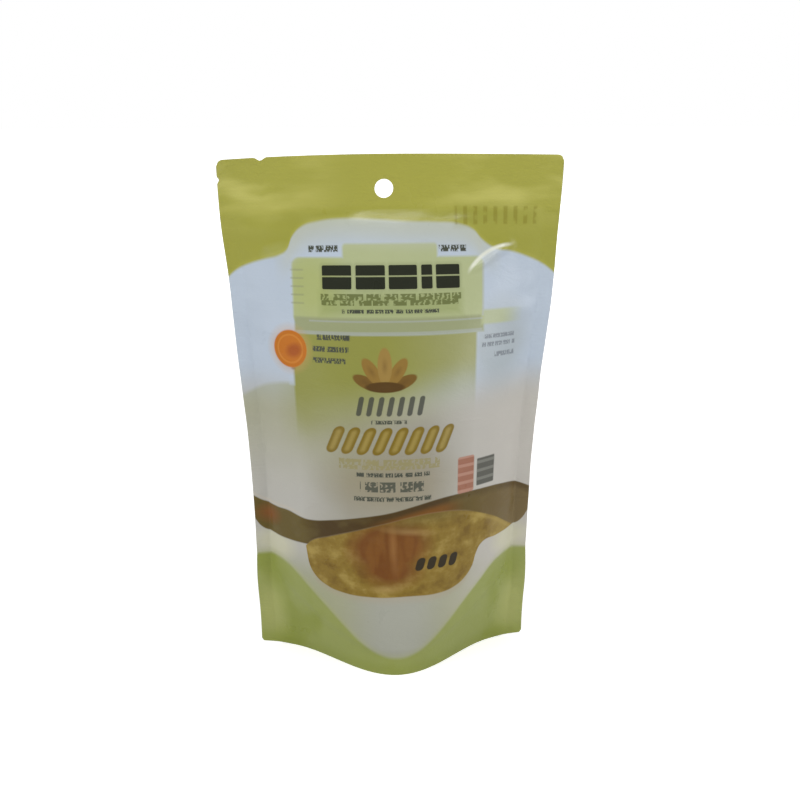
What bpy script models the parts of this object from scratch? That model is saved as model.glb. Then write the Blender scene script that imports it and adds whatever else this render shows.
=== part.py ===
# Hand soap refill pack
#
# A stand-up pouch of welded film, full of liquid soap. Units are metres, Z is up,
# the front faces -Y and the rim of the base stands on Z = 0.
#
# The film does not stretch. At every height its front and back panels keep their flat
# width, so a deeper bulge makes a narrower pouch. The section therefore comes from the
# bulge depth: half the section's arc length always equals half the free film width.

import bpy
import bmesh
import math
import numpy as np

# Flat film
FLAT_WIDTH = 0.110
HEIGHT = 0.170
SIDE_SEAL = 0.005
TOP_SEAL = 0.017
SEAL_THICKNESS = 0.0005
CORNER_RADIUS = 0.0020

# Bulge of one panel, measured from the middle plane
BELLY_DEPTH = 0.0241
BELLY_TOP = 0.0224
BELLY_FALL = 2.63
BASE_SWELL = 0.0024
SWELL_HEIGHT = 0.009
SWELL_SPREAD = 0.017
ROUND_HEIGHT = 0.035

# Width that the folds at each shoulder take up: amount, height and spread, left and right
SHOULDER_LEFT = (0.0010, 0.132, 0.018)
SHOULDER_RIGHT = (0.0007, 0.144, 0.014)

# Forward curl of the top band at its two ends, and how much lower that leaves them
CURL_LEFT = 0.0070
CURL_RIGHT = 0.0035
CURL_FROM = 0.100
DROOP_LEFT = 0.0013
DROOP_RIGHT = 0.0003

# Gusset under the base
GUSSET_DEPTH = 0.030
SKIRT_HEIGHT = 0.0060
SKIRT_THICKNESS = 0.0008
GUSSET_SAG = 0.0012
GUSSET_END = 0.86
CORNER_LIFT = 0.0011
CORNER_LIFT_WIDTH = 0.012

# Folds in the film
WELD_STEP = 0.0007
WELD_STEP_RISE = 0.0045
WELD_STEP_FADE = 0.030
SHOULDER_FOLD = 0.0006
CREASE_HEIGHT = 0.0011
CREASE_WIDTH = 0.0027
# Each crease runs between two points, as shares of the free half width and of the filled height
CREASES = (
    (0.82, 0.931, 0.42, 0.850),
    (-0.86, 0.928, -0.60, 0.879),
    (-0.76, 0.288, -0.52, 0.418),
    (0.76, 0.275, 0.54, 0.392),
)

# Hang hole and nicks
HANG_HOLE_RADIUS = 0.0030
HANG_HOLE_X = -0.0025
HANG_HOLE_DROP = 0.0109
EDGE_NICK_DROP = 0.0050
EDGE_NICK_DEPTH = 0.0008
EDGE_NICK_HEIGHT = 0.0012
TOP_NICK_X = -0.0415
TOP_NICK_WIDTH = 0.0032
TOP_NICK_DEPTH = 0.0010

# Mesh resolution
FILM_COLUMNS = 38
FILM_ROWS = 46
SEAL_COLUMNS = 2
GUSSET_STATIONS = 29
GUSSET_WALL_STEPS = 5
GUSSET_ROOF_STEPS = 6
SECTION_SAMPLES = 121

SEAL_TOP = HEIGHT - TOP_SEAL
FREE_HALF = FLAT_WIDTH / 2 - SIDE_SEAL
HALF_SEAL = SEAL_THICKNESS / 2

SURFACE_COLOUR = (0.42, 0.44, 0.12, 1.0)
SURFACE_ROUGHNESS = 0.32


def clear_scene():
    for obj in list(bpy.data.objects):
        bpy.data.objects.remove(obj, do_unlink=True)


def smooth(value):
    value = np.clip(value, 0.0, 1.0)
    return value * value * (3.0 - 2.0 * value)


def bulge(z):
    """Depth of one panel at its middle, from the base up to the flat top band."""
    z = np.asarray(z, dtype=float)
    up = np.clip((z - BELLY_TOP) / (SEAL_TOP - BELLY_TOP), 0.0, 1.0)
    swell = BASE_SWELL * np.exp(-(((z - SWELL_HEIGHT) / SWELL_SPREAD) ** 2))
    return BELLY_DEPTH * (1.0 - up ** BELLY_FALL) + swell * (1.0 - up)


def roundness(z):
    """Share of the soft, cosine-shaped section: all of it at the base, none in the belly."""
    return np.clip(1.0 - np.asarray(z, dtype=float) / ROUND_HEIGHT, 0.0, 1.0)


def section(t, share):
    """Section height at t, where 0 is the middle of the panel and 1 its seal."""
    t = np.clip(np.abs(t), 0.0, 1.0)
    return (1.0 - share) * (1.0 - t ** 2) + share * np.cos(t * math.pi / 2.0) ** 2


def arc_lengths(chord, depth, share):
    """Running film length along half a section, from the middle to the seal."""
    t = np.linspace(0.0, 1.0, SECTION_SAMPLES)
    steps = np.hypot(np.diff(chord * t), np.diff(depth * section(t, share)))
    return t, np.concatenate([[0.0], np.cumsum(steps)])


def half_chord(depth, share, film):
    """Half chord whose arc takes up exactly the given length of film."""
    low, high = film * 0.3, film
    for _ in range(40):
        middle = (low + high) / 2.0
        if arc_lengths(middle, depth, share)[1][-1] > film:
            high = middle
        else:
            low = middle
    return (low + high) / 2.0


def spanning_film(z, side):
    """Half the free film, less what the shoulder folds take up at each height."""
    amount, height, spread = SHOULDER_LEFT if side < 0 else SHOULDER_RIGHT
    return FREE_HALF - amount * np.exp(-(((z - height) / spread) ** 2))


def rows_of(z, side):
    """Depth, roundness, spanning film and half chord at each height in z."""
    depth, share, film = bulge(z), roundness(z), spanning_film(z, side)
    chord = np.array([half_chord(*row) for row in zip(depth, share, film)])
    return depth, share, film, chord


def curl_share(x, z):
    """How far a place shares in the curl: the squares of its distance out and up."""
    end = x / (FLAT_WIDTH / 2.0)
    up = np.clip((z - CURL_FROM) / (HEIGHT - CURL_FROM), 0.0, 1.0)
    return end ** 2 * up ** 2


def middle_plane(x, z):
    """Y of the plane between the two panels: the top band curls forward at its ends."""
    return -np.where(x < 0.0, CURL_LEFT, CURL_RIGHT) * curl_share(x, z)


def droop(x, z):
    """How much lower the curl leaves a place."""
    return np.where(x < 0.0, DROOP_LEFT, DROOP_RIGHT) * curl_share(x, z)


def weld_line(t):
    """Height of the weld between gusset and panel: low in the middle, high at the sides."""
    rise = GUSSET_DEPTH - SKIRT_HEIGHT
    return SKIRT_HEIGHT + rise * np.clip(np.abs(t), 0.0, 1.0) ** 2.2


def folds(s, z, t):
    """Outward relief of a panel: the shoulder over the weld, the top fold and creases."""
    inside = smooth((1.0 - np.abs(t)) / 0.25)
    over = z - weld_line(t)
    shoulder = smooth(over / WELD_STEP_RISE) * smooth(1.0 - (over - WELD_STEP_RISE) / WELD_STEP_FADE)
    relief = WELD_STEP * shoulder
    relief = relief + SHOULDER_FOLD * np.exp(-(((z - SEAL_TOP) + 0.006) / 0.0035) ** 2)
    for start_x, start_z, end_x, end_z in CREASES:
        x0, z0 = start_x * FREE_HALF, start_z * SEAL_TOP
        x1, z1 = end_x * FREE_HALF, end_z * SEAL_TOP
        along = np.hypot(x1 - x0, z1 - z0)
        ux, uz = (x1 - x0) / along, (z1 - z0) / along
        run = ((s - x0) * ux + (z - z0) * uz) / along
        side = (s - x0) * uz - (z - z0) * ux
        fade = smooth(np.clip(run, 0.0, 1.0) / 0.3) * smooth((1.0 - run) / 0.4)
        relief = relief + CREASE_HEIGHT * fade * np.exp(-((side / CREASE_WIDTH) ** 2))
    return relief * inside * smooth((SEAL_TOP - z) / 0.004)


def base_lift(x, edge):
    """The pinched lower corners stand a little clear of the surface."""
    return CORNER_LIFT * smooth((np.abs(x) - (edge - CORNER_LIFT_WIDTH)) / CORNER_LIFT_WIDTH)


def film_heights():
    """Row heights: closer near the base and at the foot of the top band."""
    base = np.linspace(0.0, ROUND_HEIGHT, FILM_ROWS // 3, endpoint=False)
    belly = np.linspace(ROUND_HEIGHT, SEAL_TOP - 0.020, FILM_ROWS // 3, endpoint=False)
    neck = np.linspace(SEAL_TOP - 0.020, SEAL_TOP, FILM_ROWS // 4, endpoint=False)
    band = np.linspace(SEAL_TOP, HEIGHT, 4)
    return np.concatenate([base, belly, neck, band])


def pouch_grids():
    """X, Y front, Y back and Z of the two panels, as arrays of rows by columns."""
    z_rows = film_heights()
    places = np.linspace(-FREE_HALF, FREE_HALF, FILM_COLUMNS + 1)
    t = np.empty((len(z_rows), len(places)))
    x = np.empty_like(t)
    chords = {}
    for side in (-1.0, 1.0):
        own = places * side >= 0.0
        depth, share, film, chord = rows_of(z_rows, side)
        chords[side] = chord[:, None]
        for row in range(len(z_rows)):
            steps, lengths = arc_lengths(chord[row], depth[row], share[row])
            along = np.abs(places[own]) * film[row] / FREE_HALF
            t[row, own] = side * np.interp(along, lengths, steps)
            x[row, own] = t[row, own] * chord[row]
    z = np.repeat(z_rows[:, None], len(places), axis=1)
    s = np.repeat(places[None, :], len(z_rows), axis=0)
    out = depth[:, None] * section(t, share[:, None]) + folds(s, z, t) + HALF_SEAL

    seal = np.linspace(0.0, SIDE_SEAL, SEAL_COLUMNS + 1)[1:]
    left = -(chords[-1.0] + seal[None, ::-1])
    right = chords[1.0] + seal[None, :]
    x = np.hstack([left, x, right])
    z = np.hstack([z[:, :1].repeat(SEAL_COLUMNS, 1), z, z[:, :1].repeat(SEAL_COLUMNS, 1)])
    flat = np.full((len(z_rows), SEAL_COLUMNS), HALF_SEAL)
    out = np.hstack([flat, out, flat])

    middle = middle_plane(x, z)
    edge = np.abs(x[:1]).max()
    lift = base_lift(x, edge) * np.clip(1.0 - z / ROUND_HEIGHT, 0.0, 1.0) ** 2
    return x, middle - out, middle + out, z + lift - droop(x, z)


def mesh_object(name, vertices, faces, collection):
    mesh = bpy.data.meshes.new(name)
    mesh.from_pydata([tuple(v) for v in vertices.tolist()], [], faces)
    mesh.update()
    obj = bpy.data.objects.new(name, mesh)
    collection.objects.link(obj)
    cleaned = bmesh.new()
    cleaned.from_mesh(mesh)
    bmesh.ops.recalc_face_normals(cleaned, faces=cleaned.faces)
    cleaned.to_mesh(mesh)
    cleaned.free()
    return obj


def grid_faces(rows, columns, start):
    index = start + np.arange(rows * columns).reshape(rows, columns)
    low, high = index[:-1], index[1:]
    quads = np.stack([low[:, :-1], low[:, 1:], high[:, 1:], high[:, :-1]], axis=-1)
    return quads.reshape(-1, 4).tolist()


def pouch_body(name, collection):
    """Loft of the unlike sections into one closed body, front and back joined at the rim."""
    x, front, back, z = pouch_grids()
    rows, columns = x.shape
    count = rows * columns
    vertices = np.concatenate([
        np.stack([x, front, z], axis=-1).reshape(-1, 3),
        np.stack([x, back, z], axis=-1).reshape(-1, 3),
    ])
    faces = grid_faces(rows, columns, 0) + grid_faces(rows, columns, count)
    index = np.arange(count).reshape(rows, columns)
    for line in (index[0], index[-1], index[:, 0], index[:, -1]):
        a, b = line[:-1], line[1:]
        faces += np.stack([a, b, b + count, a + count], axis=-1).tolist()
    return mesh_object(name, vertices, faces, collection)


def gusset_cutter(collection):
    """The space under the base: between the skirts, below the folded gusset."""
    stations = np.linspace(-GUSSET_END, GUSSET_END, GUSSET_STATIONS)
    base_chord = half_chord(bulge(0.0), roundness(0.0), FREE_HALF)
    x = stations * base_chord
    top = weld_line(stations)
    levels = np.linspace(0.0, 1.0, GUSSET_WALL_STEPS + 1)
    rings = []
    for xi, weld in zip(x, top):
        z = levels * weld
        depth, share, _, chord = rows_of(z, 1.0)
        half = depth * section(xi / chord, share) + HALF_SEAL - SKIRT_THICKNESS
        roof = np.linspace(-1.0, 1.0, GUSSET_ROOF_STEPS + 1)[1:-1]
        sag = GUSSET_SAG * (1.0 - (xi / x[-1]) ** 2)
        ring = [(xi, -half[0], -0.002)]
        ring += [(xi, -h, zi) for h, zi in zip(half, z)]
        ring += [(xi, r * half[-1], weld - sag * (1.0 - r * r)) for r in roof]
        ring += [(xi, h, zi) for h, zi in zip(half[::-1], z[::-1])]
        ring += [(xi, half[0], -0.002)]
        rings.append(ring)
    vertices = np.array(rings)
    stations_count, ring_count = vertices.shape[:2]
    vertices = vertices.reshape(-1, 3)
    index = np.arange(stations_count * ring_count).reshape(stations_count, ring_count)
    around = np.roll(index, -1, axis=1)
    quads = np.stack([index[:-1], around[:-1], around[1:], index[1:]], axis=-1)
    faces = quads.reshape(-1, 4).tolist()
    faces += [index[0].tolist(), index[-1].tolist()]
    return mesh_object("gusset_space", vertices, faces, collection)


def cylinder_cutter(name, radius, length, location, collection):
    bpy.ops.mesh.primitive_cylinder_add(vertices=32, radius=radius, depth=length)
    obj = bpy.context.object
    obj.name = name
    obj.location = location
    obj.rotation_euler = (math.pi / 2.0, 0.0, 0.0)
    move_to(obj, collection)
    return obj


def prism_cutter(name, outline, length, y, collection):
    """A prism along Y over an outline in X and Z."""
    near = [(px, y - length / 2.0, pz) for px, pz in outline]
    far = [(px, y + length / 2.0, pz) for px, pz in outline]
    count = len(outline)
    faces = [list(range(count)), list(range(count, 2 * count))]
    for i in range(count):
        j = (i + 1) % count
        faces.append([i, j, j + count, i + count])
    return mesh_object(name, np.array(near + far), faces, collection)


def top_at(x):
    """Height of the top edge at a place across it."""
    return HEIGHT - float(droop(x, HEIGHT))


def corner_outline(side):
    """What a rounded corner removes, as an outline with a little to spare outside it."""
    edge = side * FLAT_WIDTH / 2.0
    centre_x = edge - side * CORNER_RADIUS
    centre_z = top_at(centre_x) - CORNER_RADIUS
    spare = 0.002
    angles = np.linspace(0.0, math.pi / 2.0, 9)
    arc = [
        (centre_x + side * CORNER_RADIUS * math.cos(a), centre_z + CORNER_RADIUS * math.sin(a))
        for a in angles
    ]
    return arc + [
        (centre_x, HEIGHT + spare),
        (edge + side * spare, HEIGHT + spare),
        (edge + side * spare, centre_z),
    ]


def move_to(obj, collection):
    for owner in list(obj.users_collection):
        owner.objects.unlink(obj)
    collection.objects.link(obj)


def cut(obj, cutter):
    cutter.hide_render = True
    cutter.display_type = "WIRE"
    modifier = obj.modifiers.new(cutter.name, "BOOLEAN")
    modifier.operation = "DIFFERENCE"
    modifier.solver = "EXACT"
    modifier.object = cutter


def film_material():
    material = bpy.data.materials.new("printed_film")
    material.use_nodes = True
    shader = material.node_tree.nodes["Principled BSDF"]
    shader.inputs["Base Color"].default_value = SURFACE_COLOUR
    shader.inputs["Roughness"].default_value = SURFACE_ROUGHNESS
    shader.inputs["Metallic"].default_value = 0.0
    return material


def build():
    clear_scene()
    pack = bpy.data.collections.new("hand_soap_refill_pack")
    cutters = bpy.data.collections.new("cutters")
    bpy.context.scene.collection.children.link(pack)
    bpy.context.scene.collection.children.link(cutters)
    cutters.hide_render = True

    pouch = pouch_body("refill_pouch", pack)
    pouch.data.materials.append(film_material())

    # The gusset space
    cut(pouch, gusset_cutter(cutters))

    # The hang hole
    reach = 0.030
    hole_z = HEIGHT - HANG_HOLE_DROP
    cut(pouch, cylinder_cutter(
        "hang_hole", HANG_HOLE_RADIUS, reach, (HANG_HOLE_X, 0.0, hole_z), cutters))

    # Rounded top corners
    for side, name in ((-1.0, "corner_left"), (1.0, "corner_right")):
        cut(pouch, prism_cutter(name, corner_outline(side), reach, 0.0, cutters))

    # The nick in the left edge and the one in the top edge
    edge = -FLAT_WIDTH / 2.0
    nick_z = top_at(edge) - EDGE_NICK_DROP
    edge_nick = [
        (edge - 0.002, nick_z + EDGE_NICK_HEIGHT),
        (edge + EDGE_NICK_DEPTH, nick_z),
        (edge - 0.002, nick_z - EDGE_NICK_HEIGHT),
    ]
    cut(pouch, prism_cutter("edge_nick", edge_nick, reach, 0.0, cutters))
    half = TOP_NICK_WIDTH / 2.0
    top = top_at(TOP_NICK_X)
    top_nick = [
        (TOP_NICK_X - half, top + 0.001),
        (TOP_NICK_X - half * 0.7, top - TOP_NICK_DEPTH),
        (TOP_NICK_X + half * 0.2, top - TOP_NICK_DEPTH * 0.9),
        (TOP_NICK_X + half * 1.2, top + 0.001),
    ]
    cut(pouch, prism_cutter("top_nick", top_nick, reach, 0.0, cutters))


build()
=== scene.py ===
# %% [markdown]
# # Hand soap refill pack
#
# This lesson dresses a stand-up film pouch of liquid hand soap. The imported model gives
# its size and place. Everything that the eye reads as film is made here: two printed
# panels with their folds, the welded edges, the folded gusset underneath, the print as
# fields of colour, and the satin gloss over it.

# %% Load the frame
import math

import bmesh
import bpy
import numpy as np
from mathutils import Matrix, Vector


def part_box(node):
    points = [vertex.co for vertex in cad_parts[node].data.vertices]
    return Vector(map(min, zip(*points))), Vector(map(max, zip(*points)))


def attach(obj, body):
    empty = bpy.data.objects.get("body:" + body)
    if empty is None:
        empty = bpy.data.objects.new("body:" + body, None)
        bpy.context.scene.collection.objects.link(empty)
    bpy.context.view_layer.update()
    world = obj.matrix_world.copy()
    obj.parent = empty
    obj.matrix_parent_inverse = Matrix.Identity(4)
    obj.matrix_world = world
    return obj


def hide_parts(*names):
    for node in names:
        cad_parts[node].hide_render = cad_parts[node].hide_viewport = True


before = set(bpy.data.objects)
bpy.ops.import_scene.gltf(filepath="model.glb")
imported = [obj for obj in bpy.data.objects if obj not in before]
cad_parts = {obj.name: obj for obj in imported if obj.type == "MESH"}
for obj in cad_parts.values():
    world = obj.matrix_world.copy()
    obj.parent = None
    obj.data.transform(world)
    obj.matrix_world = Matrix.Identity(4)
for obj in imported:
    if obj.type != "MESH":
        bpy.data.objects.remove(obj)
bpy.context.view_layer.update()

# %% [markdown]
# ## The sizes of the pouch
#
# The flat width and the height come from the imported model. What its box can't say, such
# as the width of a seal or the depth of the belly, is named here. Film places are given
# as two numbers in millimetres: `s` across the flat film from its middle, and `z` up
# from the rim. Print and folds are both placed that way. `SEAL_TOP` is the height at
# which the filled part ends and the top seal begins.

# %% Name the sizes, in millimetres
MM = 0.001
low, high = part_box("refill_pouch")
HALF_WIDTH = round((high.x - low.x) / 2 / MM)
HEIGHT = high.z / MM
SIDE_SEAL = 5.0
TOP_SEAL = 17.0
FREE_HALF = HALF_WIDTH - SIDE_SEAL
SEAL_TOP = HEIGHT - TOP_SEAL
HALF_SEAL = 0.20

BELLY_DEPTH, BELLY_TOP, BELLY_FALL = 24.1, 22.4, 2.63
BASE_SWELL, SWELL_HEIGHT, SWELL_SPREAD = 2.4, 9.0, 17.0
ROUND_HEIGHT = 35.0
# For the left and the right: the width that the shoulder folds take up, their height and spread
SHOULDERS = {-1.0: (1.0, 132.0, 18.0), 1.0: (0.7, 144.0, 14.0)}

CURL_LEFT, CURL_RIGHT, CURL_FROM = 7.0, 3.5, 100.0
DROOP_LEFT, DROOP_RIGHT = 1.3, 0.3
GUSSET_DEPTH, SKIRT_HEIGHT, SKIRT_FILM, GUSSET_SAG = 30.0, 6.0, 0.55, 1.2
GUSSET_END = 46.5
CORNER_LIFT, CORNER_LIFT_WIDTH = 1.1, 12.0
CORNER_RADIUS, FOOT_RADIUS = 2.0, 1.2

HOLE_S, HOLE_Z, HOLE_RADIUS = -2.5, HEIGHT - 10.9, 3.0
EDGE_NICK_Z, EDGE_NICK_DEPTH, EDGE_NICK_HALF = HEIGHT - 5.0, 0.8, 1.2
TOP_NICK_S, TOP_NICK_DEPTH, TOP_NICK_HALF = -41.5, 1.0, 2.0
print(f"flat film {2 * HALF_WIDTH:.0f} x {HEIGHT:.0f} mm")

# %% [markdown]
# ## The camera
#
# The photograph looks down on the pouch by about 16 degrees, from a little to its left
# and from close by, which is why the base looks so much narrower than the top. The
# camera comes first, so that every later step can be looked at from the right place.

# %% Place the camera
CAMERA_DISTANCE, CAMERA_AZIMUTH, CAMERA_ELEVATION = 0.3920, -4.0, 15.67
AIM_RIGHT, AIM_UP = 0.00268, 0.08863
FOCAL_PIXELS, FRAME_PIXELS, SENSOR = 1163.7, 800, 36.0


def place_camera():
    """Camera on a sphere round its aim, with the lens that gives the focal length in pixels."""
    azimuth, elevation = math.radians(CAMERA_AZIMUTH), math.radians(CAMERA_ELEVATION)
    right = Vector((math.cos(azimuth), math.sin(azimuth), 0.0))
    back = Vector((
        math.sin(azimuth) * math.cos(elevation),
        -math.cos(azimuth) * math.cos(elevation),
        math.sin(elevation),
    ))
    data = bpy.data.cameras.new("photo_camera")
    data.sensor_width = SENSOR
    data.lens = FOCAL_PIXELS / FRAME_PIXELS * SENSOR
    data.clip_start = 0.01
    data.clip_end = 20.0
    camera = bpy.data.objects.new("photo_camera", data)
    bpy.context.scene.collection.objects.link(camera)
    camera.location = right * AIM_RIGHT + Vector((0.0, 0.0, AIM_UP)) + back * CAMERA_DISTANCE
    camera.rotation_mode = "QUATERNION"
    camera.rotation_quaternion = (-back).to_track_quat("-Z", "Y")
    bpy.context.scene.camera = camera
    return camera


camera = place_camera()
print("camera at", [round(v, 3) for v in camera.location], "lens", round(camera.data.lens, 1))

# %% [markdown]
# ## How film bulges
#
# Laminated film bends but does not stretch. Squeezing soap into a flat pouch makes it
# deeper, and because the film's width stays the same, also narrower. So the depth is
# chosen at each height, and the width is then solved: it is the chord whose arc is as
# long as the flat film. That one rule gives the tapering outline of the photograph.

# %% Solve the section at each height
SECTION_STEPS = np.linspace(0.0, 1.0, 161)
NARROWEST, HALVINGS = 0.3, 40
BELLY_HEIGHT = 30.0


def smooth(value):
    """0 below 0, 1 above 1, and an even S curve between them."""
    value = np.clip(value, 0.0, 1.0)
    return value * value * (3.0 - 2.0 * value)


def rise(value, start, length):
    """An S curve from 0 at start to 1 a length on, or a length before it if that is negative."""
    return smooth((value - start) / length)


def bulge(z):
    """Depth of one panel: full in the belly, swollen over the base, none at the top seal."""
    up = np.clip((z - BELLY_TOP) / (SEAL_TOP - BELLY_TOP), 0.0, 1.0)
    swell = BASE_SWELL * np.exp(-((z - SWELL_HEIGHT) / SWELL_SPREAD) ** 2)
    return BELLY_DEPTH * (1.0 - up ** BELLY_FALL) + swell * (1.0 - up)


def roundness(z):
    """Share of the soft section: all of it at the rim, none in the belly."""
    return np.clip(1.0 - z / ROUND_HEIGHT, 0.0, 1.0)


def section(t, share):
    """A parabola 1 - t squared, blended towards a squared cosine by share."""
    t = np.clip(np.abs(t), 0.0, 1.0)
    return (1.0 - share) * (1.0 - t ** 2) + share * np.cos(t * math.pi / 2.0) ** 2


def spanning_film(z, side):
    """Half the free film, less what the shoulder folds take up at each height."""
    amount, height, spread = SHOULDERS[side]
    return FREE_HALF - amount * np.exp(-((z - height) / spread) ** 2)


def arcs(chord, depth, share):
    """Running arc length of half of each section, rows of heights by section steps."""
    out = depth[:, None] * section(SECTION_STEPS[None, :], share[:, None])
    along = chord[:, None] * SECTION_STEPS[None, :]
    steps = np.hypot(np.diff(along, axis=1), np.diff(out, axis=1))
    return np.concatenate([np.zeros((len(chord), 1)), np.cumsum(steps, axis=1)], axis=1)


def half_chords(z, side):
    """Chord whose arc equals the spanning film, found by halving an interval."""
    depth, share, film = bulge(z), roundness(z), spanning_film(z, side)
    short, long = film * NARROWEST, film
    for _ in range(HALVINGS):
        middle = (short + long) / 2.0
        too_long = arcs(middle, depth, share)[:, -1] > film
        long = np.where(too_long, middle, long)
        short = np.where(too_long, short, middle)
    return (short + long) / 2.0


stations = np.array([0.0, BELLY_HEIGHT, HEIGHT])
rim_half, belly_half, top_half = half_chords(stations, -1.0) + SIDE_SEAL
print("half widths in mm at the rim, in the belly and on top:",
      [round(half, 1) for half in (rim_half, belly_half, top_half)])

# %% [markdown]
# ## Folds and puckers
#
# A real pouch is never a clean bulge. The film puckers where it leaves the side seals,
# steps out over the curved weld of the gusset, and creases from the corners of the top
# seal. Each of these is a small outward height, added to the section as a formula in
# `s` and `z`, so that it is real geometry and shows from every side.

# %% Write the folds as heights over the film
# Each crease runs from one s and z to another, with its height and width after them
CREASES = (
    (41.5, 142.8, 21.0, 130.4, 1.45, 1.5),
    (-43.0, 142.0, -30.0, 134.5, 0.70, 2.0),
    (-38.0, 44.0, -26.0, 64.0, 0.60, 3.4),
    (38.0, 42.0, 27.0, 60.0, 0.60, 3.4),
)
BACK_CREASE_SHARE = 0.5
WELD_STEP, WELD_RISE, WELD_FADE, WELD_POWER = 0.7, 4.0, 28.0, 2.2
# Each pucker wave: millimetres for one radian, its share, and how often its phase counts
PUCKER_WAVES = ((1.35, 1.0, 1.0), (2.1, 0.8, 2.0), (3.7, 0.6, -1.0))
PUCKER, PUCKER_REACH, PUCKER_FALL = 0.22, 11.0, 2.2
WIDE_DRAPE, SLANTED_DRAPE, UPPER_DRAPE = 0.16, 0.12, 0.10
NECK_FOLD, NECK_DROP, NECK_SPREAD = 0.45, 5.5, 3.2
RAY_FOLD, RAY_REACH, RAY_PITCH, RAY_FANNING = 0.16, 16.0, 2.9, 0.002
FLAT_AT_SEAL = 9.0


def weld_line(s):
    """Height of the gusset weld: low in the middle, rising to the sides as a power of s."""
    out = np.clip(np.abs(s) / FREE_HALF, 0, 1)
    return SKIRT_HEIGHT + (GUSSET_DEPTH - SKIRT_HEIGHT) * out ** WELD_POWER


def crease(s, z, line):
    """A ridge along a line: a steep bell across it, fading out at both of its ends."""
    s0, z0, s1, z1, height, width = line
    length = math.hypot(s1 - s0, z1 - z0)
    along = ((s - s0) * (s1 - s0) + (z - z0) * (z1 - z0)) / length ** 2
    across = ((s - s0) * (z1 - z0) - (z - z0) * (s1 - s0)) / length
    fade = rise(along, 0.0, 0.25) * rise(along, 1.0, -0.45)
    return height * fade / (1.0 + (across / width) ** 2) ** 1.5


def puckers(s, z, side):
    """Ripples along the side seals: three sines of height, dying away inwards."""
    phase = np.where(s < 0, 0.0, 2.1) + 1.3 * side
    wave = sum(share * np.sin(z / length + turns * phase) for length, share, turns in PUCKER_WAVES)
    inward = (FREE_HALF - np.abs(s)) / PUCKER_REACH
    reach = np.clip(inward * 4.0, 0.0, 1.0) * np.exp(-np.clip(inward, 0.0, None) * PUCKER_FALL)
    return PUCKER * wave * reach * rise(z, 14.0, 20.0) * rise(z, 150.0, -30.0)


def drape(s, z, side):
    """Wide, shallow unevenness of a filled pouch: slow sines that never repeat."""
    wide = np.sin(s / 11.0 + 0.9 * side) * np.sin(z / 17.0 + 0.5)
    slanted = np.sin(s / 6.3 - z / 13.0 + 2.0 * side) * np.sin(z / 23.0 + 1.7 * side)
    upper = np.sin(s / 4.1 + z / 9.0 + side) * rise(z, 95.0, 40.0)
    return WIDE_DRAPE * wide + SLANTED_DRAPE * slanted + UPPER_DRAPE * upper


def neck_folds(s, z, side):
    """A flat fold under the top seal, and rays of small ones that die away below it."""
    below = SEAL_TOP - z
    band = np.exp(-((below - NECK_DROP) / NECK_SPREAD) ** 2)
    rays = np.exp(-below / RAY_REACH) * np.sin(s / RAY_PITCH + RAY_FANNING * s * np.abs(s) + side)
    return NECK_FOLD * band + RAY_FOLD * rays * rise(below, 0.0, 3.0)


def relief(s, z, side):
    """All folds together; they fade out before the seals, which are flat."""
    over = z - weld_line(s)
    step = rise(over, 0.0, WELD_RISE) * rise(over, WELD_RISE + WELD_FADE, -WELD_FADE)
    height = WELD_STEP * step + neck_folds(s, z, side) + drape(s, z, side)
    for line in CREASES:
        place, share = (s, 1.0) if side < 0 else (-s, BACK_CREASE_SHARE)
        height = height + crease(place, z, line) * share
    height = height * rise(np.abs(s), FREE_HALF, -FLAT_AT_SEAL) + puckers(s, z, side)
    return height * rise(z, SEAL_TOP, -4.0) * rise(z, -1.0, 6.0)


print("largest fold in mm:", round(float(relief(
    *np.meshgrid(np.linspace(-50, 50, 201), np.linspace(0, 153, 307)), -1.0).max()), 2))

# %% [markdown]
# ## From flat film to space
#
# One function carries any row of film places to points in space. It slides each place
# along the solved section by arc length, pushes it out by its folds, bends the top band
# forward at its ends, and lifts the pinched lower corners. The outline of the film, with
# its round corners and small nicks, is made by squeezing the last few columns and rows.

# %% Map film places to space
EDGE_RIPPLE, FINE_RIPPLE, BAND_WAVE = 0.30, 0.16, 0.22
FOOT_FADE = 10.0


def curl_share(x, z):
    """How far a place shares in the curl: the squares of its distance out and up."""
    return (x / HALF_WIDTH) ** 2 * np.clip((z - CURL_FROM) / (HEIGHT - CURL_FROM), 0.0, 1.0) ** 2


def middle_plane(x, z):
    """Y between the panels: the band's ends curl forward, and the side seals ripple."""
    curl = np.where(x < 0.0, CURL_LEFT, CURL_RIGHT) * curl_share(x, z)
    ripple = EDGE_RIPPLE * np.sin(z / 5.2 + np.sign(x)) + FINE_RIPPLE * np.sin(z / 2.6 + 2.0)
    near_edge = rise(np.abs(x) / HALF_WIDTH, 0.74, 0.12) * rise(z, 140.0, -30.0)
    band = BAND_WAVE * np.sin(x / 8.5 + 0.6) * rise(z, SEAL_TOP - 6.0, 8.0)
    return ripple * near_edge * rise(z, 0.0, 12.0) + band - curl


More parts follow.
